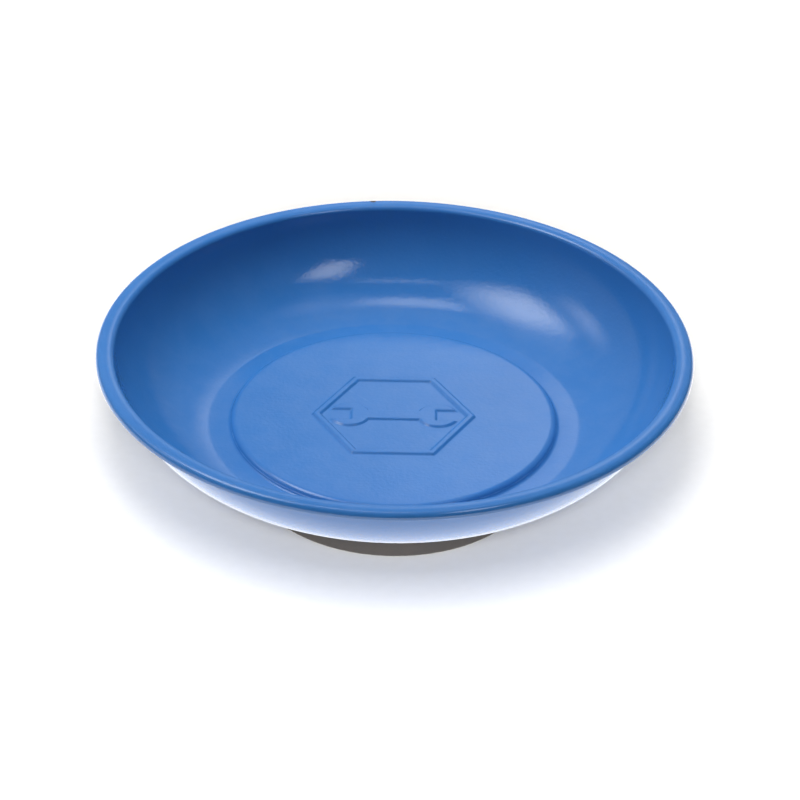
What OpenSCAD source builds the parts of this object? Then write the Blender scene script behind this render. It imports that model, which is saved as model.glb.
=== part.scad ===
// Round magnetic parts bowl: a pressed, enamelled steel dish that stands on a
// ring magnet in a rubber boot. Millimetres, +Z up. The origin is the centre of
// the boot's resting face.

/* [Bowl] */
// Outer diameter over the rim
bowl_d = 160; // [130:1:200]
// Depth from the top of the rim to the raised floor
bowl_depth = 22.5; // [18:0.1:30]
// Thickness of the pressed sheet, coating included
sheet_t = 1; // [0.7:0.05:1.3]
// Diameter of the raised floor, at the middle of its step
floor_d = 87.6; // [85:0.2:106]
// Height of the raised floor above the channel around it
step_h = 1.8; // [0.8:0.1:3.4]
// Radius over the top edge of the step
step_top_r = 1.8; // [1.5:0.1:2.5]
// Radius in the foot of the step
step_foot_r = 1; // [0.5:0.1:2]
// Width of the flat channel between the step and the wall
channel_w = 4.5; // [2:0.1:6]
// Radius of the blend from the channel into the wall
wall_foot_r = 8; // [3:0.5:10]
// Angle that the wall turns through between its foot and the rim
wall_bend = 72; // [55:1:76]

/* [Rim] */
// Width of the flange, from the centre of its inner bend to the outer edge
flange_w = 3.5; // [3.3:0.1:6]
// Radius over the flange's inner and outer bends
rim_bend_r = 1.6; // [1.5:0.1:1.6]
// Radius of the flange's crowned top
flange_crown_r = 6; // [5:0.5:20]
// Straight drop of the turned-down edge below its bend
lip_h = 0.5; // [0.2:0.1:2]

/* [Emblem] */
// Width across the flats of the embossed hexagon
emblem_af = 38; // [32:0.5:60]
// Width of the hexagon's embossed line
emblem_line_w = 1.8; // [1:0.1:3]
// Height of the embossing above the floor
emblem_h = 0.5; // [0.3:0.05:0.8]
// Length of the embossed spanner, over its two heads
spanner_l = 35; // [24:0.5:36]
// Diameter of each spanner head
spanner_head_d = 11; // [8:0.5:14]
// Width of each spanner jaw
spanner_jaw_w = 5; // [3:0.1:7]
// Depth of each spanner jaw, from the end of its head
spanner_jaw_l = 6; // [3:0.1:8]
// Width of the spanner's grip
spanner_grip_w = 4.4; // [3:0.1:6]

/* [Magnet] */
// Outer diameter of the ring magnet
magnet_d = 72; // [60:1:76]
// Diameter of the magnet's bore
magnet_bore_d = 32; // [24:1:40]
// Thickness of the ring magnet
magnet_t = 15; // [12:0.5:20]
// Chamfer on the magnet's edges
magnet_chamfer = 0.6; // [0.3:0.1:1]
// Thickness of the foam pad between the magnet and the bowl
pad_t = 1; // [0.8:0.1:2]
// Width of the foam pad's ring
pad_w = 16; // [6:0.5:17]

/* [Fixing] */
// Thickness of the clamp cup's sheet
cup_t = 1; // [0.8:0.1:1.2]
// Height of the clamp cup inside the magnet, above the magnet's lower face
cup_h = 9; // [8.2:0.1:10.8]
// Width of the clamp cup's flange beyond the magnet's bore
cup_flange_w = 5; // [2:0.5:8]
// Diameter of the stud
stud_d = 5; // [4:0.5:6]
// Length of the stud below the bowl
stud_l = 15; // [14:0.5:17]
// Width of the stud's weld flange beyond the stud
stud_flange_w = 0.8; // [0.5:0.1:1.5]
// Thickness of the stud's weld flange
stud_flange_t = 0.8; // [0.5:0.1:1.2]
// Outer diameter of the flat washer
washer_d = 10; // [9:0.5:15]
// Thickness of the flat washer
washer_t = 1; // [0.8:0.1:1.6]
// Width across the flats of the lock nut
nut_af = 8; // [8:0.5:10]
// Height of the lock nut over its collar
nut_h = 5; // [4.5:0.1:6]
// Height of the nut's round collar, which holds the insert
nut_collar_h = 1.6; // [1.2:0.1:2]
// Wall of the nut's collar
nut_collar_w = 0.5; // [0.4:0.05:0.8]
// Height of the nylon insert
insert_h = 1.1; // [0.8:0.1:1.2]
// Step from the nut's flats in to its collar
nut_collar_step = 0.2; // [0.1:0.05:0.4]

/* [Boot] */
// Thickness of the boot's side wall
boot_wall = 3; // [2:0.1:4]
// Thickness of the boot's floor under the magnet
boot_floor = 2.8; // [2.4:0.1:5]
// Radius of the boot's lower edge
boot_edge_r = 1.5; // [0.5:0.1:1.8]
// Radius of the boot's upper outer edge
boot_top_r = 0.6; // [0.3:0.1:1]
// Reach of the boot's lip over the magnet
boot_lip_w = 2; // [1:0.1:2.5]
// Gap between the boot's lip and the bowl
boot_lip_gap = 0.2; // [0.1:0.05:0.4]
// Number of grip grooves under the boot
groove_n = 3; // [1:1:4]
// Distance between grip grooves
groove_pitch = 4; // [3:0.5:6]
// Width of a grip groove
groove_w = 1.2; // [0.8:0.1:2]
// Depth of a grip groove
groove_depth = 0.5; // [0.3:0.1:0.8]

/* [Fits] */
// Radial gap between the clamp cup and the magnet's bore
cup_gap = 0.3; // [0.1:0.05:0.6]
// Gap around the clamp cup's flange, to its pocket in the boot
pocket_gap = 0.2; // [0.1:0.05:0.5]
// Radial gap between the stud and the holes that it passes through
stud_gap = 0.25; // [0.1:0.05:0.5]
// Radial gap between the stud and the nut's thread crests
thread_gap = 0.05; // [0.02:0.01:0.1]
// Gap between the pad and the boot's lip
pad_gap = 0.5; // [0.2:0.1:1]

/* [Hidden] */
$fn = 96;
// Depth that joined shapes sink into each other
bite = 0.3;

// Heights of the stack, from the resting face up
magnet_z = boot_floor;
pad_z = magnet_z + magnet_t;
bowl_z = pad_z + pad_t;
floor_z = bowl_z + sheet_t;
channel_z = floor_z - step_h;
rim_z = floor_z + bowl_depth;
cup_web_z = magnet_z + cup_h - cup_t;
washer_z = cup_web_z - washer_t;
nut_z = washer_z - nut_h;

// The step around the raised floor: two bends that meet, or a riser between them
step_reach = step_top_r + step_foot_r;
step_a = step_h < step_reach ? acos(1 - step_h / step_reach) : 90;
step_half = step_reach * sin(step_a) / 2;
step_top_c = [floor_d / 2 - step_half, floor_z - step_top_r];
step_foot_c = [floor_d / 2 + step_half, channel_z + step_foot_r];

// The rim: two bends with a crowned flange between them
rim_r = bowl_d / 2;
crown_half = (flange_w - rim_bend_r) / 2;
crown_drop = sqrt(pow(flange_crown_r - rim_bend_r, 2) - pow(crown_half, 2));
crown_a = asin(crown_half / (flange_crown_r - rim_bend_r));
crown_c = [rim_r - rim_bend_r - crown_half, rim_z - flange_crown_r];
rim_in_c = crown_c + [-crown_half, crown_drop];
rim_out_c = crown_c + [crown_half, crown_drop];

// The wall: one arc, tangent to its foot's blend and to the rim's inner bend
wall_foot_c = [step_foot_c[0] + channel_w, channel_z + wall_foot_r];
wall_chord = norm(rim_in_c - [rim_bend_r, 0] - [wall_foot_c[0], channel_z]);
wall_r = wall_chord / (2 * sin(wall_bend / 2));
wall_c = crossing(wall_foot_c, wall_r - wall_foot_r, rim_in_c, wall_r + rim_bend_r);
wall_foot_a = 360 + bearing(wall_c, wall_foot_c);
wall_top_a = 360 + bearing(wall_c, rim_in_c);

// Radii around the magnet
magnet_r = magnet_d / 2;
bore_r = magnet_bore_d / 2;
lip_r = magnet_r - boot_lip_w;
pad_r = lip_r - pad_gap;
cup_r = bore_r - cup_gap;
cup_flange_r = bore_r + cup_flange_w;
stud_r = stud_d / 2;
boot_r = magnet_r + boot_wall;
collar_r = nut_af / 2 - nut_collar_step;
insert_r = collar_r - nut_collar_w;

// Angle of the line from one point to another
function bearing(from, to) = atan2(to[1] - from[1], to[0] - from[0]);

// The point at distance ra from a and rb from b, left of the line from a to b
function crossing(a, ra, b, rb) =
    let (d = norm(b - a), u = (b - a) / d,
         x = (ra * ra - rb * rb + d * d) / (2 * d))
    a + x * u + sqrt(ra * ra - x * x) * [-u[1], u[0]];

// Points along an arc about c, from one angle to another
function arc(c, r, from, to, steps = 10) =
    [for (i = [0:steps]) let (a = from + (to - from) * i / steps)
        c + r * [cos(a), sin(a)]];

function reversed(points) = [for (i = [len(points) - 1:-1:0]) points[i]];

// A list of points without the ones that repeat the point before
function distinct(points) =
    [for (i = [0:len(points) - 1])
        if (i == 0 || norm(points[i] - points[max(i - 1, 0)]) > 0.001) points[i]];

// One face of the pressed sheet, k below its upper face, from the axis to the edge
function sheet_face(k) = concat(
    [[0, floor_z - k]],
    arc(step_top_c, step_top_r - k, 90, 90 - step_a),
    arc(step_foot_c, step_foot_r + k, 270 - step_a, 270),
    arc(wall_foot_c, wall_foot_r + k, 270, wall_foot_a),
    arc(wall_c, wall_r + k, wall_foot_a, wall_top_a, 24),
    arc(rim_in_c, rim_bend_r - k, wall_top_a - 180, 90 + crown_a),
    arc(crown_c, flange_crown_r - k, 90 + crown_a, 90 - crown_a),
    arc(rim_out_c, rim_bend_r - k, 90 - crown_a, 0),
    [[rim_r - k, rim_out_c[1] - lip_h]]);

// A flat ring, standing on z
module ring(outer, inner, z, h) {
    translate([0, 0, z]) difference() {
        cylinder(r = outer, h = h);
        translate([0, 0, -bite]) cylinder(r = inner, h = h + 2 * bite);
    }
}

// Outline of the double open-ended spanner
module spanner_outline() {
    head_x = (spanner_l - spanner_head_d) / 2;
    difference() {
        union() {
            square([2 * head_x, spanner_grip_w], center = true);
            for (side = [-1, 1]) translate([side * head_x, 0]) circle(d = spanner_head_d);
        }
        for (side = [-1, 1])
            translate([side * (spanner_l / 2 - spanner_jaw_l / 2 + bite / 2), 0])
                square([spanner_jaw_l + bite, spanner_jaw_w], center = true);
    }
}

// Outline of the hexagon's line
module hexagon_outline() {
    difference() {
        circle(d = emblem_af / cos(30), $fn = 6);
        circle(d = (emblem_af - 2 * emblem_line_w) / cos(30), $fn = 6);
    }
}

// Pressed steel dish: raised floor with an embossed emblem, channel, wall and rim
module bowl() {
    color("royalblue") {
        rotate_extrude()
            polygon(distinct(concat(sheet_face(0), reversed(sheet_face(sheet_t)))));
        translate([0, 0, floor_z - bite]) linear_extrude(emblem_h + bite) {
            hexagon_outline();
            spanner_outline();
        }
    }
}

// Threaded stud, welded under the middle of the floor
module weld_stud() {
    color("silver") {
        translate([0, 0, bowl_z - stud_l]) cylinder(r = stud_r, h = stud_l);
        translate([0, 0, bowl_z - stud_flange_t])
            cylinder(r = stud_r + stud_flange_w, h = stud_flange_t);
    }
}

// Self-adhesive foam ring that beds the magnet against the bowl
module pad_ring() {
    color("dimgray") ring(pad_r, pad_r - pad_w, pad_z, pad_t);
}

// Ferrite ring magnet with chamfered edges
module ring_magnet() {
    c = magnet_chamfer;
    top = magnet_z + magnet_t;
    color("#3b3b3d") rotate_extrude() polygon([
        [bore_r + c, magnet_z], [magnet_r - c, magnet_z], [magnet_r, magnet_z + c],
        [magnet_r, top - c], [magnet_r - c, top], [bore_r + c, top],
        [bore_r, top - c], [bore_r, magnet_z + c]]);
}

// Pressed top-hat cup that centres the magnet and clamps it from below
module clamp_cup() {
    low = magnet_z - cup_t;
    top = magnet_z + cup_h;
    hole_r = stud_r + stud_gap;
    color("lightgray") rotate_extrude() polygon([
        [hole_r, cup_web_z], [cup_r - cup_t, cup_web_z], [cup_r - cup_t, low],
        [cup_flange_r, low], [cup_flange_r, magnet_z], [cup_r, magnet_z],
        [cup_r, top], [hole_r, top]]);
}

// Flat washer under the cup's web
module flat_washer() {
    color("silver") ring(washer_d / 2, stud_r + stud_gap, washer_z, washer_t);
}

// Hexagon lock nut with a round collar for its insert
module lock_nut() {
    color("silver") difference() {
        union() {
            translate([0, 0, nut_z + nut_collar_h])
                linear_extrude(nut_h - nut_collar_h) circle(d = nut_af / cos(30), $fn = 6);
            translate([0, 0, nut_z]) cylinder(r = collar_r, h = nut_collar_h + bite);
        }
        translate([0, 0, nut_z - bite]) cylinder(r = stud_r + thread_gap, h = nut_h + 2 * bite);
        translate([0, 0, nut_z - bite]) cylinder(r = insert_r, h = insert_h + bite);
    }
}

// Nylon ring in the nut's collar, gripping the stud
module nut_insert() {
    color("white") ring(insert_r, stud_r, nut_z, insert_h);
}

// Section of the boot: floor with a pocket for the cup's flange, wall and lip
module boot_section() {
    pocket_z = magnet_z - cup_t - pocket_gap;
    pocket_r = cup_flange_r + pocket_gap;
    top = bowl_z - boot_lip_gap;
    polygon(distinct(concat(
        [[0, 0]],
        arc([boot_r - boot_edge_r, boot_edge_r], boot_edge_r, -90, 0),
        arc([boot_r - boot_top_r, top - boot_top_r], boot_top_r, 0, 90),
        [[lip_r, top], [lip_r, pad_z], [magnet_r, pad_z], [magnet_r, magnet_z],
         [pocket_r, magnet_z], [pocket_r, pocket_z], [0, pocket_z]])));
}

// Moulded rubber boot that covers the magnet and stands on the bench
module rubber_boot() {
    groove_r = boot_r - boot_edge_r - groove_pitch / 2;
    color("#4a463e") difference() {
        rotate_extrude() boot_section();
        for (i = [0:groove_n - 1])
            ring(groove_r - i * groove_pitch, groove_r - i * groove_pitch - groove_w,
                 -bite, groove_depth + bite);
    }
}

bowl();
weld_stud();
pad_ring();
ring_magnet();
clamp_cup();
flat_washer();
lock_nut();
nut_insert();
rubber_boot();
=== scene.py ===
"""Looks of the round magnetic parts bowl: a glossy blue enamelled steel dish with a
raised, embossed floor, standing on a ring magnet in a dark rubber boot."""
import math

import bpy
import numpy as np
from mathutils import Matrix, Vector


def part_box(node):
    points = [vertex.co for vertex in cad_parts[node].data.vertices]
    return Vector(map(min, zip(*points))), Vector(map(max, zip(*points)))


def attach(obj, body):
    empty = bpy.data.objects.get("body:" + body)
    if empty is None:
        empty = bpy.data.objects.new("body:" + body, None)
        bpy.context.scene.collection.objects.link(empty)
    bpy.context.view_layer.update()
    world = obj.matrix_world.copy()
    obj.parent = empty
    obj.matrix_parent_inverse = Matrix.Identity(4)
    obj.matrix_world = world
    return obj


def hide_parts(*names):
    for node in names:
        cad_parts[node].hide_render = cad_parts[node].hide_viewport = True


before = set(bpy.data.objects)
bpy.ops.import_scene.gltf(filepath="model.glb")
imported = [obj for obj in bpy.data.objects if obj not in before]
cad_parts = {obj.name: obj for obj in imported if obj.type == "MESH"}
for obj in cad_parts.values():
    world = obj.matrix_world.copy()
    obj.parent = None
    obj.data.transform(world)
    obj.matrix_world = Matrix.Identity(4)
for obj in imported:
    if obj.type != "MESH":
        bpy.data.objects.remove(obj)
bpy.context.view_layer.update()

MM = 0.001
TURN = 2 * math.pi

# ---------------------------------------------------------------- sizes, in metres
SHEET = 1.0 * MM               # pressed sheet with its coating
RIM_R = 80.0 * MM              # outer radius over the rim
FLOOR_R = 43.8 * MM            # raised floor, to the middle of its step
STEP_H = 1.8 * MM              # raised floor above the channel
STEP_TOP_R = 1.8 * MM          # bend over the step's edge
STEP_FOOT_R = 1.0 * MM         # bend in the step's foot
CHANNEL_W = 4.5 * MM           # flat channel
WALL_FOOT_R = 8.0 * MM         # blend from the channel into the wall
WALL_BEND = math.radians(72)   # how far the wall turns from foot to rim
FLANGE_W = 3.5 * MM            # flange, from its inner bend to the outer edge
RIM_BEND_R = 1.6 * MM          # bends of the rim
CROWN_R = 6.0 * MM             # crowned top of the flange
LIP_H = 0.5 * MM               # straight drop of the turned-down edge

EMBLEM_AF = 38.0 * MM          # hexagon across flats
EMBLEM_LINE = 1.8 * MM         # width of its line
EMBLEM_H = 0.5 * MM            # height of the embossing
EMBLEM_SHOULDER = 0.8 * MM     # width of the embossing's soft edge
SPANNER_L = 35.0 * MM
SPANNER_HEAD = 11.0 * MM
SPANNER_JAW_W = 5.0 * MM
SPANNER_JAW_L = 6.0 * MM
SPANNER_GRIP = 4.4 * MM

BOOT_EDGE_R = 1.5 * MM         # lower edge of the boot
BOOT_TOP_R = 0.6 * MM          # upper edge of the boot
GROOVE_PITCH = 4.0 * MM
GROOVE_W = 1.2 * MM
GROOVE_DEPTH = 0.5 * MM

# heights and radii that the frame gives
UNDER_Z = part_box("pad_ring")[1].z
FLOOR_Z = UNDER_Z + SHEET
CHANNEL_Z = FLOOR_Z - STEP_H
RIM_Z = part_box("bowl")[1].z
MAGNET_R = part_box("ring_magnet")[1].x
MAGNET_LOW, MAGNET_TOP = (corner.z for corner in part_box("ring_magnet"))
BOOT_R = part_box("rubber_boot")[1].x
BOOT_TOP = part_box("rubber_boot")[1].z
LIP_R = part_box("pad_ring")[1].x + 0.5 * MM
POCKET_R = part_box("clamp_cup")[1].x + 0.2 * MM
POCKET_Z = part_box("clamp_cup")[0].z - 0.2 * MM

# ---------------------------------------------------------------- studio
CAM_SENSOR = 36.0              # sensor width and lens, in millimetres
CAM_LENS = 157.5
CAM_REACH = 946.2 * MM         # from the point aimed at
CAM_TILT = math.radians(32.61)
CAM_ROLL = math.radians(1.03)
CAM_AIM = Vector((1.63 * MM, 0, RIM_Z - 17.46 * MM))
CAM_BACK = Vector((0, -math.cos(CAM_TILT), math.sin(CAM_TILT)))
WORLD_FRONT = 0.02             # brightness of the surroundings in front and behind
WORLD_BACK = 0.32
TABLE_HALF = 12.0
TABLE_GLEAM = 1.0              # added brightness of the table where the enamel mirrors it
LAMP_Z = RIM_Z + 1.0           # height of the cards over the bowl
FILL_REACH = 0.95              # how far out the side fills stand
FILL_Z = 0.75
FILL_SIZE = (0.7, 0.7)
MIDDLE = (0, 0, 0)


# ---------------------------------------------------------------- outlines
def arc(centre, radius, start, end, steps=8):
    """Points along an arc, from one angle to another."""
    angles = np.linspace(start, end, steps + 1)
    return [(centre[0] + radius * math.cos(a), centre[1] + radius * math.sin(a)) for a in angles]


def bearing(start, end):
    return math.atan2(end[1] - start[1], end[0] - start[0])


def crossing(a, reach_a, b, reach_b):
    """The point that lies reach_a from a and reach_b from b, left of the line a to b."""
    a, b = np.array(a), np.array(b)
    gap = np.linalg.norm(b - a)
    along = (b - a) / gap
    x = (reach_a ** 2 - reach_b ** 2 + gap ** 2) / (2 * gap)
    return a + x * along + math.sqrt(reach_a ** 2 - x ** 2) * np.array([-along[1], along[0]])


def sheet_faces():
    """The pressed sheet's upper and lower outlines, each from the floor's edge outward."""
    quarter = math.pi / 2
    reach = STEP_TOP_R + STEP_FOOT_R
    step = math.acos(1 - STEP_H / reach)
    half = reach * math.sin(step) / 2
    step_top = (FLOOR_R - half, FLOOR_Z - STEP_TOP_R)
    step_foot = (FLOOR_R + half, CHANNEL_Z + STEP_FOOT_R)
    crown_half = (FLANGE_W - RIM_BEND_R) / 2
    crown = math.asin(crown_half / (CROWN_R - RIM_BEND_R))
    crown_drop = (CROWN_R - RIM_BEND_R) * math.cos(crown)
    crown_c = (RIM_R - RIM_BEND_R - crown_half, RIM_Z - CROWN_R)
    rim_in = (crown_c[0] - crown_half, crown_c[1] + crown_drop)
    rim_out = (crown_c[0] + crown_half, crown_c[1] + crown_drop)
    wall_foot = (step_foot[0] + CHANNEL_W, CHANNEL_Z + WALL_FOOT_R)
    chord = math.dist((rim_in[0] - RIM_BEND_R, rim_in[1]), (wall_foot[0], CHANNEL_Z))
    wall_r = chord / (2 * math.sin(WALL_BEND / 2))
    wall_c = crossing(wall_foot, wall_r - WALL_FOOT_R, rim_in, wall_r + RIM_BEND_R)
    foot = bearing(wall_c, wall_foot)
    top = bearing(wall_c, rim_in)

    def face(k):
        return (
            arc(step_top, STEP_TOP_R - k, quarter, quarter - step, 10)
            + arc(step_foot, STEP_FOOT_R + k, -quarter - step, -quarter, 8)
            + arc(wall_foot, WALL_FOOT_R + k, -quarter, foot, 6)[1:]
            + arc(wall_c, wall_r + k, foot, top, 40)[1:]
            + arc(rim_in, RIM_BEND_R - k, top + math.pi, quarter + crown, 8)[1:]
            + arc(crown_c, CROWN_R - k, quarter + crown, quarter - crown, 6)[1:]
            + arc(rim_out, RIM_BEND_R - k, quarter - crown, 0, 10)[1:]
            + [(RIM_R - k, rim_out[1] - LIP_H + 0.15 * MM)]
        )

    edge_z = rim_out[1] - LIP_H
    return face(0), [(RIM_R - 0.15 * MM, edge_z), (RIM_R - SHEET + 0.15 * MM, edge_z)], face(SHEET)


# ---------------------------------------------------------------- meshes
def turned(name, outline, segments, lift=None):
    """A closed body turned about Z. The outline runs from the axis back to the axis."""
    rings = outline[1:-1]
    angles = np.arange(segments) * TURN / segments
    verts = [(0, 0, outline[0][1]), (0, 0, outline[-1][1])]
    for r, z in rings:
        verts += [(r * math.cos(a), r * math.sin(a), z) for a in angles]
    if lift:
        verts = [(x, y, z + lift(x, y, z)) for x, y, z in verts]

    def at(ring, i):
        return 2 + ring * segments + i % segments

    faces = [(0, at(0, i), at(0, i + 1)) for i in range(segments)]
    for ring in range(len(rings) - 1):
        faces += [(at(ring, i), at(ring + 1, i), at(ring + 1, i + 1), at(ring, i + 1))
                  for i in range(segments)]
    last = len(rings) - 1
    faces += [(1, at(last, i + 1), at(last, i)) for i in range(segments)]
    mesh = bpy.data.meshes.new(name)
    mesh.from_pydata(verts, [], faces)
    mesh.validate()
    mesh.polygons.foreach_set("use_smooth", [True] * len(mesh.polygons))
    piece = bpy.data.objects.new(name, mesh)
    bpy.context.scene.collection.objects.link(piece)
    return piece


def emblem_distance(x, y):
    """Distance from the emblem's outline on the floor, negative inside its lines."""
    x, y = abs(x), abs(y)
    flat = EMBLEM_AF / 2 - EMBLEM_LINE / 2
    hexagon = abs(max(y, x * math.cos(math.pi / 6) + y / 2) - flat) - EMBLEM_LINE / 2
    head_x = (SPANNER_L - SPANNER_HEAD) / 2
    head = math.hypot(x - head_x, y) - SPANNER_HEAD / 2
    grip = max(x - head_x, y - SPANNER_GRIP / 2)
    jaw = max(SPANNER_L / 2 - SPANNER_JAW_L - x, y - SPANNER_JAW_W / 2)
    return min(hexagon, max(min(head, grip), -jaw))


def emblem_lift(x, y, z):
    """Height of the embossing above the floor, with soft pressed edges."""
    if z < FLOOR_Z - SHEET / 2 or math.hypot(x, y) > EMBLEM_AF:
        return 0.0
    t = min(max(0.5 - emblem_distance(x, y) / EMBLEM_SHOULDER, 0), 1)
    return EMBLEM_H * t * t * (3 - 2 * t)


def make_bowl():
    upper, edge, lower = sheet_faces()
    fine = [(r, FLOOR_Z) for r in np.arange(0, 24 * MM, 0.2 * MM)]
    coarse = [(r, FLOOR_Z) for r in np.linspace(24 * MM, upper[0][0] - 0.2 * MM, 10)]
    under = [(r, UNDER_Z) for r in np.linspace(lower[0][0] - 0.2 * MM, 0, 12)]
    return turned("bowl_shell", fine + coarse + upper + edge + lower[::-1] + under, 480, emblem_lift)


def make_boot():
    quarter = math.pi / 2
    groove_r = BOOT_R - BOOT_EDGE_R - GROOVE_PITCH / 2
    soft = 0.15 * MM
    under = [(0, 0)]
    for i in (2, 1, 0):
        outer = groove_r - i * GROOVE_PITCH
        inner = outer - GROOVE_W
        under += [(inner - soft, 0), (inner, soft), (inner, GROOVE_DEPTH - soft),
                  (inner + soft, GROOVE_DEPTH), (outer - soft, GROOVE_DEPTH),
                  (outer, GROOVE_DEPTH - soft), (outer, soft), (outer + soft, 0)]
    bead = 0.5 * BOOT_TOP
    side = [(BOOT_R, bead - 0.35 * MM), (BOOT_R + 0.08 * MM, bead - 0.12 * MM),
            (BOOT_R + 0.08 * MM, bead + 0.12 * MM), (BOOT_R, bead + 0.35 * MM)]
    outline = (
        under
        + arc((BOOT_R - BOOT_EDGE_R, BOOT_EDGE_R), BOOT_EDGE_R, -quarter, 0, 8)
        + side
        + arc((BOOT_R - BOOT_TOP_R, BOOT_TOP - BOOT_TOP_R), BOOT_TOP_R, 0, quarter, 6)
        + [(LIP_R, BOOT_TOP), (LIP_R, MAGNET_TOP), (MAGNET_R, MAGNET_TOP),
           (MAGNET_R, MAGNET_LOW), (POCKET_R, MAGNET_LOW), (POCKET_R, POCKET_Z), (0, POCKET_Z)]
    )
    return turned("boot_cover", outline, 360)


# ---------------------------------------------------------------- shader helpers
def put(tree, kind, inputs=None, **settings):
    """Adds a node, sets its properties, and links or fills its inputs."""
    made = tree.nodes.new(kind)
    for key, value in settings.items():
        setattr(made, key, value)
    for key, value in (inputs or {}).items():
        socket = made.inputs[key]
        if isinstance(value, bpy.types.NodeSocket):
            tree.links.new(value, socket)
        else:
            socket.default_value = value
    return made


def calc(tree, operation, a, b=0.0, clamp=False):
    """One step of arithmetic on values that change over the surface."""
    return put(tree, "ShaderNodeMath", {0: a, 1: b}, operation=operation, use_clamp=clamp).outputs[0]


def spread(tree, value, low, high, to_low=0.0, to_high=1.0):
    """Maps a value from one range to another, held at both ends."""
    return put(tree, "ShaderNodeMapRange", {
        "Value": value, "From Min": low, "From Max": high,
        "To Min": to_low, "To Max": to_high}).outputs["Result"]


def mottle(tree, scale, detail, roughness=0.5):
    """Soft noise from 0 to 1 over the piece."""
    place = put(tree, "ShaderNodeTexCoord").outputs["Object"]
    return put(tree, "ShaderNodeTexNoise", {
        "Vector": place, "Scale": scale, "Detail": detail,
        "Roughness": roughness}).outputs["Fac"]


def blend(tree, mask, under, over):
    """One colour over another by a mask."""
    made = put(tree, "ShaderNodeMix", {"Factor": mask}, data_type="RGBA")
    for socket, value in ((made.inputs[6], under), (made.inputs[7], over)):
        if isinstance(value, bpy.types.NodeSocket):
            tree.links.new(value, socket)
        else:
            socket.default_value = (*value, 1)
    return made.outputs[2]


def group(name, inputs, outputs):
    """An empty node group with float inputs and outputs."""
    tree = bpy.data.node_groups.new(name, "ShaderNodeTree")
    for label, start in inputs.items():
        socket = tree.interface.new_socket(name=label, in_out="INPUT", socket_type="NodeSocketFloat")
        socket.default_value = start
    for label in outputs:
        tree.interface.new_socket(name=label, in_out="OUTPUT", socket_type="NodeSocketFloat")
    return tree, tree.nodes.new("NodeGroupInput").outputs, tree.nodes.new("NodeGroupOutput").inputs


def grain_group():
    """Fine surface grain: a height that rises and falls at one scale."""
    tree, given, out = group("fine_grain", {"Scale": 800.0, "Detail": 2.0, "Roughness": 0.5},
                             ["Height"])
    noise = mottle(tree, given["Scale"], given["Detail"], given["Roughness"])
    tree.links.new(noise, out["Height"])
    return tree


def wear_group():
    """Wear that follows convex edges and breaks up along them."""
    tree, given, out = group("edge_wear", {"Start": 0.52, "Full": 0.6, "Break Scale": 250.0},
                             ["Mask"])
    edge = put(tree, "ShaderNodeNewGeometry").outputs["Pointiness"]
    noise = mottle(tree, given["Break Scale"], 4.0)
    mask = spread(tree, edge, given["Start"], given["Full"])
    patchy = spread(tree, noise, 0.45, 0.62)
    tree.links.new(calc(tree, "MULTIPLY", mask, patchy, clamp=True), out["Mask"])
    return tree


def dust_group():
    """Thin dust that lies in patches on faces that look up."""
    tree, given, out = group("dust_film", {"Amount": 0.3, "Scale": 60.0}, ["Mask"])
    up = put(tree, "ShaderNodeSeparateXYZ",
             {0: put(tree, "ShaderNodeNewGeometry").outputs["Normal"]}).outputs["Z"]
    patches = mottle(tree, given["Scale"], 6.0, 0.65)
    lying = calc(tree, "MULTIPLY", spread(tree, up, 0.3, 1.0), spread(tree, patches, 0.4, 0.75))
    tree.links.new(calc(tree, "MULTIPLY", lying, given["Amount"], clamp=True), out["Mask"])
    return tree


def scratch_group():
    """Hairline scratches: thin streaks that run two ways across the surface."""
    tree, given, out = group("hairline_scratches", {"Scale": 90.0, "Sharpness": 0.7}, ["Mask"])
    place = put(tree, "ShaderNodeTexCoord").outputs["Object"]
    masks = []
    for turn, seed in ((0.5, 3.0), (2.1, 11.0)):
        streaks = put(tree, "ShaderNodeMapping", {"Vector": place, "Rotation": (0, 0, turn),
                                                  "Location": (seed, seed, 0),
                                                  "Scale": (1.0, 26.0, 1.0)}).outputs[0]
        noise = put(tree, "ShaderNodeTexNoise", {"Vector": streaks, "Scale": given["Scale"],
                                                 "Detail": 3.0}).outputs["Fac"]
        masks.append(spread(tree, noise, given["Sharpness"],
                            calc(tree, "ADD", given["Sharpness"], 0.05)))
    tree.links.new(calc(tree, "MAXIMUM", masks[0], masks[1]), out["Mask"])
    return tree


GRAIN, WEAR, DUST, SCRATCH = grain_group(), wear_group(), dust_group(), scratch_group()


def use(tree, shared, output, **values):
    """Places a shared node group with this material's own values."""
    made = tree.nodes.new("ShaderNodeGroup")
    made.node_tree = shared
    for key, value in values.items():
        made.inputs[key.replace("_", " ")].default_value = value
    return made.outputs[output]


def material(name):
    made = bpy.data.materials.new(name)
    made.use_nodes = True
    shader = made.node_tree.nodes["Principled BSDF"]
    return made, made.node_tree, shader


def drive(tree, shader, **inputs):
    """Links or fills the shader's own sockets."""
    for key, value in inputs.items():
        socket = shader.inputs[key.replace("_", " ")]
        if isinstance(value, bpy.types.NodeSocket):
            tree.links.new(value, socket)
        elif isinstance(value, tuple):
            socket.default_value = (*value, 1)
        else:
            socket.default_value = value


def bump(tree, height, depth, strength=1.0, over=None):
    inputs = {"Height": height, "Distance": depth, "Strength": strength}
    if over:
        inputs["Normal"] = over
    return put(tree, "ShaderNodeBump", inputs).outputs["Normal"]


# ---------------------------------------------------------------- materials
ENAMEL_DEEP = (0.030, 0.150, 0.430)
ENAMEL_LIGHT = (0.036, 0.165, 0.462)
ENAMEL_WORN = (0.10, 0.24, 0.52)
DUST_ON_BLUE = (0.35, 0.42, 0.52)
BARE_CHIP = (0.018, 0.018, 0.022)
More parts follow.
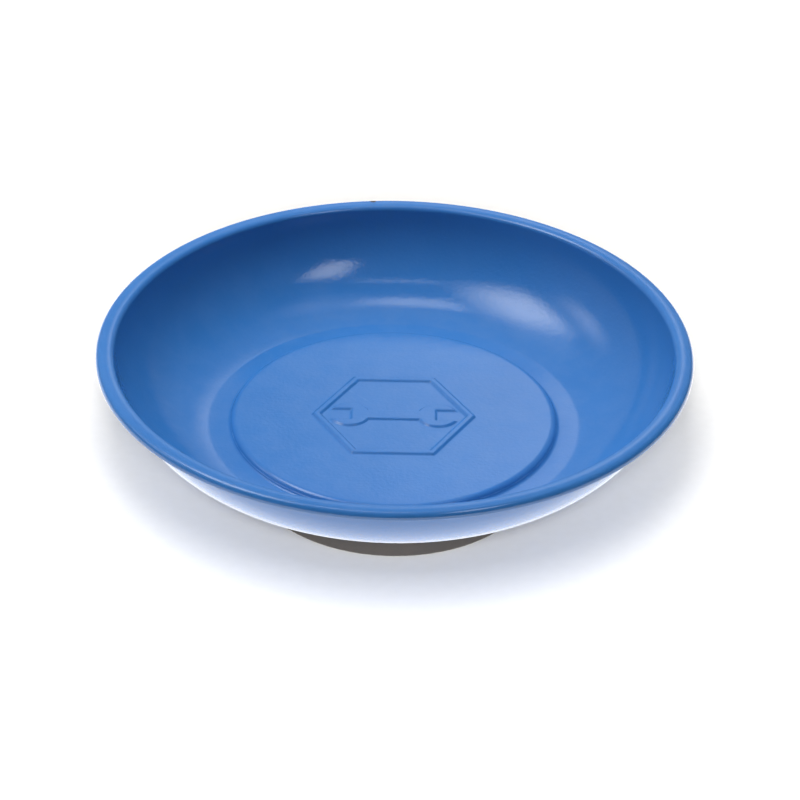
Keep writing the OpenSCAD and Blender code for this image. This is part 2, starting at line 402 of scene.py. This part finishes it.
# the chip in the enamel of the rim: angle from +X, radius and size
CHIP_ANGLE = math.radians(95.2)
CHIP_R = 78.6 * MM
CHIP_SIZE = 0.9 * MM


def rim_chip(tree):
    """Mask of the ragged chip on the rim."""
    place = put(tree, "ShaderNodeTexCoord").outputs["Object"]
    centre = (CHIP_R * math.cos(CHIP_ANGLE), CHIP_R * math.sin(CHIP_ANGLE), RIM_Z)
    gap = put(tree, "ShaderNodeVectorMath", {0: place, 1: centre}, operation="DISTANCE")
    ragged = calc(tree, "MULTIPLY", mottle(tree, 1800.0, 2.0), 0.4 * CHIP_SIZE)
    edge = calc(tree, "ADD", gap.outputs["Value"], ragged)
    return spread(tree, edge, 1.05 * CHIP_SIZE, 1.25 * CHIP_SIZE, 1.0, 0.0)


def enamel():
    """Glossy baked enamel: orange peel, faint colour drift, hairline scratches, a rim chip."""
    made, tree, shader = material("glossy_blue_enamel")
    chip = rim_chip(tree)
    wear = use(tree, WEAR, "Mask", Start=0.56, Full=0.7, Break_Scale=300.0)
    scratches = use(tree, SCRATCH, "Mask", Scale=80.0, Sharpness=0.66)
    dust = use(tree, DUST, "Mask", Amount=0.04, Scale=140.0)

    drift = spread(tree, mottle(tree, 22.0, 3.0), 0.3, 0.7)
    colour = blend(tree, drift, ENAMEL_DEEP, ENAMEL_LIGHT)
    colour = blend(tree, calc(tree, "MULTIPLY", wear, 0.35), colour, ENAMEL_WORN)
    colour = blend(tree, dust, colour, DUST_ON_BLUE)
    colour = blend(tree, chip, colour, BARE_CHIP)

    rough = spread(tree, scratches, 0.0, 1.0, 0.07, 0.14)
    rough = calc(tree, "ADD", rough, calc(tree, "MULTIPLY", dust, 1.5))
    rough = calc(tree, "ADD", rough, calc(tree, "MULTIPLY", chip, 0.6))

    peel = use(tree, GRAIN, "Height", Scale=1000.0, Detail=2.0)
    damage = calc(tree, "MAXIMUM", calc(tree, "MULTIPLY", scratches, 0.25), chip)
    normal = bump(tree, peel, 0.042 * MM)
    normal = bump(tree, calc(tree, "SUBTRACT", 1.0, damage), 0.03 * MM, over=normal)
    drive(tree, shader, Base_Color=colour, Roughness=rough, Normal=normal, IOR=1.5)
    return made


def boot_rubber():
    """Matte moulded rubber: pebbled skin, dusty bloom, scuffed edges."""
    made, tree, shader = material("moulded_boot_rubber")
    bloom = mottle(tree, 90.0, 5.0)
    colour = blend(tree, spread(tree, bloom, 0.35, 0.7), (0.045, 0.039, 0.035), (0.070, 0.061, 0.054))
    wear = use(tree, WEAR, "Mask", Start=0.53, Full=0.62, Break_Scale=500.0)
    colour = blend(tree, calc(tree, "MULTIPLY", wear, 0.4), colour, (0.20, 0.19, 0.17))
    dust = use(tree, DUST, "Mask", Amount=0.3, Scale=150.0)
    colour = blend(tree, dust, colour, (0.30, 0.29, 0.27))
    grain = use(tree, GRAIN, "Height", Scale=2600.0, Detail=3.0, Roughness=0.6)
    rough = spread(tree, bloom, 0.3, 0.7, 0.62, 0.82)
    drive(tree, shader, Base_Color=colour, Roughness=rough, Normal=bump(tree, grain, 0.06 * MM))
    return made


def plated(name, tone, shade, rough_low, rough_high, streaks):
    """Bare or plated metal: hairline marks, soft tone drift, brighter worn edges."""
    made, tree, shader = material(name)
    marks = use(tree, SCRATCH, "Mask", Scale=streaks, Sharpness=0.6)
    grain = use(tree, GRAIN, "Height", Scale=1500.0, Detail=3.0)
    colour = blend(tree, spread(tree, grain, 0.35, 0.65), tone, shade)
    wear = use(tree, WEAR, "Mask", Start=0.52, Full=0.6, Break_Scale=900.0)
    colour = blend(tree, wear, colour, tuple(min(1.0, 1.15 * c) for c in tone))
    drive(tree, shader, Base_Color=colour, Metallic=1.0,
          Roughness=spread(tree, marks, 0, 1, rough_low, rough_high),
          Normal=bump(tree, calc(tree, "ADD", grain, marks), 0.01 * MM, 0.6))
    return made


def ferrite():
    """Sintered ferrite: dull dark grey, slightly porous, chipped bright-grey edges."""
    made, tree, shader = material("sintered_ferrite")
    grain = use(tree, GRAIN, "Height", Scale=1800.0, Detail=5.0, Roughness=0.7)
    colour = blend(tree, spread(tree, grain, 0.3, 0.7), (0.020, 0.020, 0.022), (0.050, 0.050, 0.053))
    wear = use(tree, WEAR, "Mask", Start=0.52, Full=0.6, Break_Scale=400.0)
    colour = blend(tree, wear, colour, (0.11, 0.11, 0.115))
    dust = use(tree, DUST, "Mask", Amount=0.25, Scale=120.0)
    colour = blend(tree, dust, colour, (0.16, 0.15, 0.14))
    drive(tree, shader, Base_Color=colour, Roughness=spread(tree, grain, 0.3, 0.7, 0.5, 0.75),
          Normal=bump(tree, grain, 0.05 * MM))
    return made


def soft_plastic(name, tone, shade, scale, rough, depth):
    """Foam or natural nylon: one tone mottled by fine grain, with a little dust."""
    made, tree, shader = material(name)
    grain = use(tree, GRAIN, "Height", Scale=scale, Detail=4.0, Roughness=0.6)
    colour = blend(tree, spread(tree, grain, 0.35, 0.65), tone, shade)
    dust = use(tree, DUST, "Mask", Amount=0.2, Scale=200.0)
    colour = blend(tree, dust, colour, (0.4, 0.4, 0.38))
    drive(tree, shader, Base_Color=colour, Roughness=spread(tree, grain, 0.3, 0.7, rough, rough + 0.12),
          Normal=bump(tree, grain, depth))
    return made


def white_table():
    """Plain pale table top with a faint tooth. It also glows for glossy rays only: a painted
    brightening of its reflection in the enamel.
    """
    made, tree, shader = material("white_table")
    tooth = spread(tree, mottle(tree, 300.0, 3.0), 0.3, 0.7)
    colour = blend(tree, tooth, (0.80, 0.79, 0.77), (0.82, 0.81, 0.79))
    # painted reflection: the table emits light only for glossy rays, so the enamel's outer wall mirrors
    # it brighter than the lamps light it
    mirrored = put(tree, "ShaderNodeLightPath").outputs["Is Glossy Ray"]
    drive(tree, shader, Base_Color=colour, Roughness=0.9, Emission_Color=(1.0, 1.0, 1.0),
          Emission_Strength=calc(tree, "MULTIPLY", mirrored, TABLE_GLEAM))
    return made


def dress(piece, finish):
    piece.data.materials.clear()
    piece.data.materials.append(finish)


# ---------------------------------------------------------------- the object
bowl_shell = make_bowl()
dress(bowl_shell, enamel())
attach(bowl_shell, "root")
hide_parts("bowl")

boot_cover = make_boot()
dress(boot_cover, boot_rubber())
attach(boot_cover, "root")
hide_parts("rubber_boot")

zinc = plated("bright_zinc_plate", (0.60, 0.62, 0.65), (0.50, 0.52, 0.55), 0.22, 0.38, 400.0)
stud_steel = plated("turned_stud_steel", (0.42, 0.41, 0.39), (0.34, 0.33, 0.31), 0.30, 0.45, 500.0)
aluminium = plated("pressed_aluminium", (0.72, 0.73, 0.74), (0.64, 0.65, 0.66), 0.28, 0.42, 300.0)
magnet_grey = ferrite()
black_foam = soft_plastic(
    "closed_cell_foam", (0.012, 0.012, 0.012), (0.03, 0.03, 0.03), 1500.0, 0.8, 0.1 * MM)
nylon = soft_plastic(
    "natural_nylon", (0.68, 0.66, 0.58), (0.62, 0.60, 0.52), 900.0, 0.45, 0.01 * MM)
INNER = {
    "weld_stud": stud_steel,
    "clamp_cup": aluminium,
    "flat_washer": zinc,
    "lock_nut": zinc,
    "ring_magnet": magnet_grey,
    "pad_ring": black_foam,
    "nut_insert": nylon,
}
for name, finish in INNER.items():
    dress(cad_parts[name], finish)


# ---------------------------------------------------------------- stage, lights, camera
def make_table():
    """A plain flat top, far wider than the view."""
    mesh = bpy.data.meshes.new("table")
    corners = [(-1, -1), (1, -1), (1, 1), (-1, 1)]
    verts = [(x * TABLE_HALF, y * TABLE_HALF, 0) for x, y in corners]
    mesh.from_pydata(verts, [], [(0, 1, 2, 3)])
    table = bpy.data.objects.new("table", mesh)
    bpy.context.scene.collection.objects.link(table)
    dress(table, white_table())
    return table


def lit_only(name, members):
    """A set of pieces that a light can be limited to."""
    made = bpy.data.collections.new(name)
    for member in members:
        made.objects.link(member)
    return made


def edge_fade(tree, width):
    """A level that rises from 0 at the lamp's edges to 1, over this share of its size."""
    place = put(tree, "ShaderNodeNewGeometry").outputs["Parametric"]
    across = put(tree, "ShaderNodeSeparateXYZ", {0: place}).outputs
    rises = []
    for axis in ("X", "Y"):
        off_centre = calc(tree, "ABSOLUTE", calc(tree, "SUBTRACT", across[axis], 0.5))
        rises.append(spread(tree, calc(tree, "SUBTRACT", 0.5, off_centre), 0.0, width))
    return calc(tree, "MULTIPLY", rises[0], rises[1])


def softbox(name, centre, size, radiance, receivers, aim=None, fade=0.0, mirrored=True):
    """A rectangular soft light of this radiance, aimed straight down unless told otherwise."""
    data = bpy.data.lights.new(name, "AREA")
    data.shape = "RECTANGLE"
    data.size, data.size_y = size
    data.energy = radiance * math.pi * size[0] * size[1]
    if fade:
        data.use_nodes = True
        strength = data.node_tree.nodes["Emission"].inputs["Strength"]
        data.node_tree.links.new(edge_fade(data.node_tree, fade), strength)
    light = bpy.data.objects.new(name, data)
    bpy.context.scene.collection.objects.link(light)
    aim = aim or (centre[0], centre[1], 0)
    back = (Vector(centre) - Vector(aim)).normalized()
    side = Vector((0, 1, 0)).cross(back).normalized()
    up = back.cross(side)
    axes = Matrix((side, up, back)).transposed().to_4x4()
    light.matrix_world = Matrix.Translation(centre) @ axes
    light.light_linking.receiver_collection = receivers
    light.visible_camera = False
    light.visible_glossy = mirrored


def studio_world():
    """Pale surroundings behind and left of the bowl, dim ones in front and right of it,
    and plain white where the view looks past the table."""
    world = bpy.data.worlds.new("studio")
    world.use_nodes = True
    tree = world.node_tree
    way = put(tree, "ShaderNodeTexCoord").outputs["Generated"]
    toward = put(tree, "ShaderNodeSeparateXYZ", {0: way}).outputs
    north = calc(tree, "SUBTRACT", toward["Y"], calc(tree, "MULTIPLY", toward["X"], 0.6))
    level = spread(tree, north, 0.0, 0.7, WORLD_FRONT, WORLD_BACK)
    seen = put(tree, "ShaderNodeLightPath").outputs["Is Camera Ray"]
    level = calc(tree, "MAXIMUM", level, seen)
    tree.nodes["Background"].inputs["Color"].default_value = (1, 1, 1, 1)
    tree.links.new(level, tree.nodes["Background"].inputs["Strength"])
    bpy.context.scene.world = world


def make_camera():
    """Looks down at the bowl from the front with a long lens."""
    data = bpy.data.cameras.new("camera")
    data.sensor_width = CAM_SENSOR
    data.lens = CAM_LENS
    camera = bpy.data.objects.new("camera", data)
    bpy.context.scene.collection.objects.link(camera)
    side = Vector((1, 0, 0))
    up = CAM_BACK.cross(side)
    axes = Matrix((side, up, CAM_BACK)).transposed().to_4x4()
    place = Matrix.Translation(CAM_AIM + CAM_REACH * CAM_BACK)
    camera.matrix_world = place @ axes @ Matrix.Rotation(CAM_ROLL, 4, "Z")
    bpy.context.scene.camera = camera


def light_mirrored(tray):
    """Cards that the glossy enamel mirrors as streaks and a broad glow."""
    softbox("key_softbox", (-0.60, 0.12, LAMP_Z), (0.80, 0.95), 5.4, tray, fade=0.35)
    softbox("key_arm_near", (-0.05, -0.25, LAMP_Z), (0.62, 0.08), 2.2, tray, fade=0.3)
    softbox("key_arm_far", (-0.08, 0.23, LAMP_Z), (0.50, 0.28), 2.9, tray, fade=0.3)
    softbox("side_card", (-1.45, 0.40, LAMP_Z), (1.0, 1.2), 1.85, tray, fade=0.4)
    softbox("back_card", (-0.50, 0.65, LAMP_Z), (0.60, 0.50), 0.6, tray, fade=0.5)
    softbox("right_card", (0.25, 0.25, LAMP_Z), (0.50, 0.50), 1.1, tray, fade=0.5)
    softbox("floor_card", (0.10, 1.26, 0.82), (0.45, 0.80), 1.25, tray, MIDDLE, fade=0.5)
    softbox("front_panel", (0.45, -0.56, LAMP_Z), (0.40, 0.62), 4.0, tray, fade=0.28)


def light_fills(tray):
    """Broad fills that the enamel doesn't mirror."""
    softbox("fill_top", (-0.12, 0.36, 1.04), (0.6, 0.6), 7.2, tray, MIDDLE, mirrored=False)
    sides = {"right": (1, 0, 1.0), "left": (-1, 0, 1.05), "back": (0, 1, 1.4)}
    for side, (x, y, radiance) in sides.items():
        centre = (x * FILL_REACH, y * FILL_REACH, FILL_Z)
        softbox(f"fill_{side}", centre, FILL_SIZE, radiance, tray, MIDDLE, mirrored=False)


def light_table(top, top_and_boot):
    """A key that casts the soft shadow, a fill from the viewer's side, a dome, a back light."""
    softbox("table_key", (-0.03, -0.43, 0.63), (0.16, 0.27), 28.0, top, MIDDLE)
    from_viewer = CAM_AIM + 2.0 * CAM_BACK
    softbox("table_front", from_viewer, (0.35, 0.35), 108.0, top_and_boot, CAM_AIM)
    softbox("table_fill", (0, 0, 1.6), (14.0, 14.0), 0.15, top_and_boot)
    softbox("table_back", (0, 0.46, 0.25), (1.4, 0.2), 2.3, top)


table = make_table()
studio_world()
lit_tray = lit_only("lit_tray", [bowl_shell, boot_cover, *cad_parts.values()])
light_mirrored(lit_tray)
light_fills(lit_tray)
light_table(lit_only("lit_table", [table]), lit_only("lit_table_and_boot", [table, boot_cover]))
make_camera()
bpy.context.scene.view_settings.view_transform = "Standard"
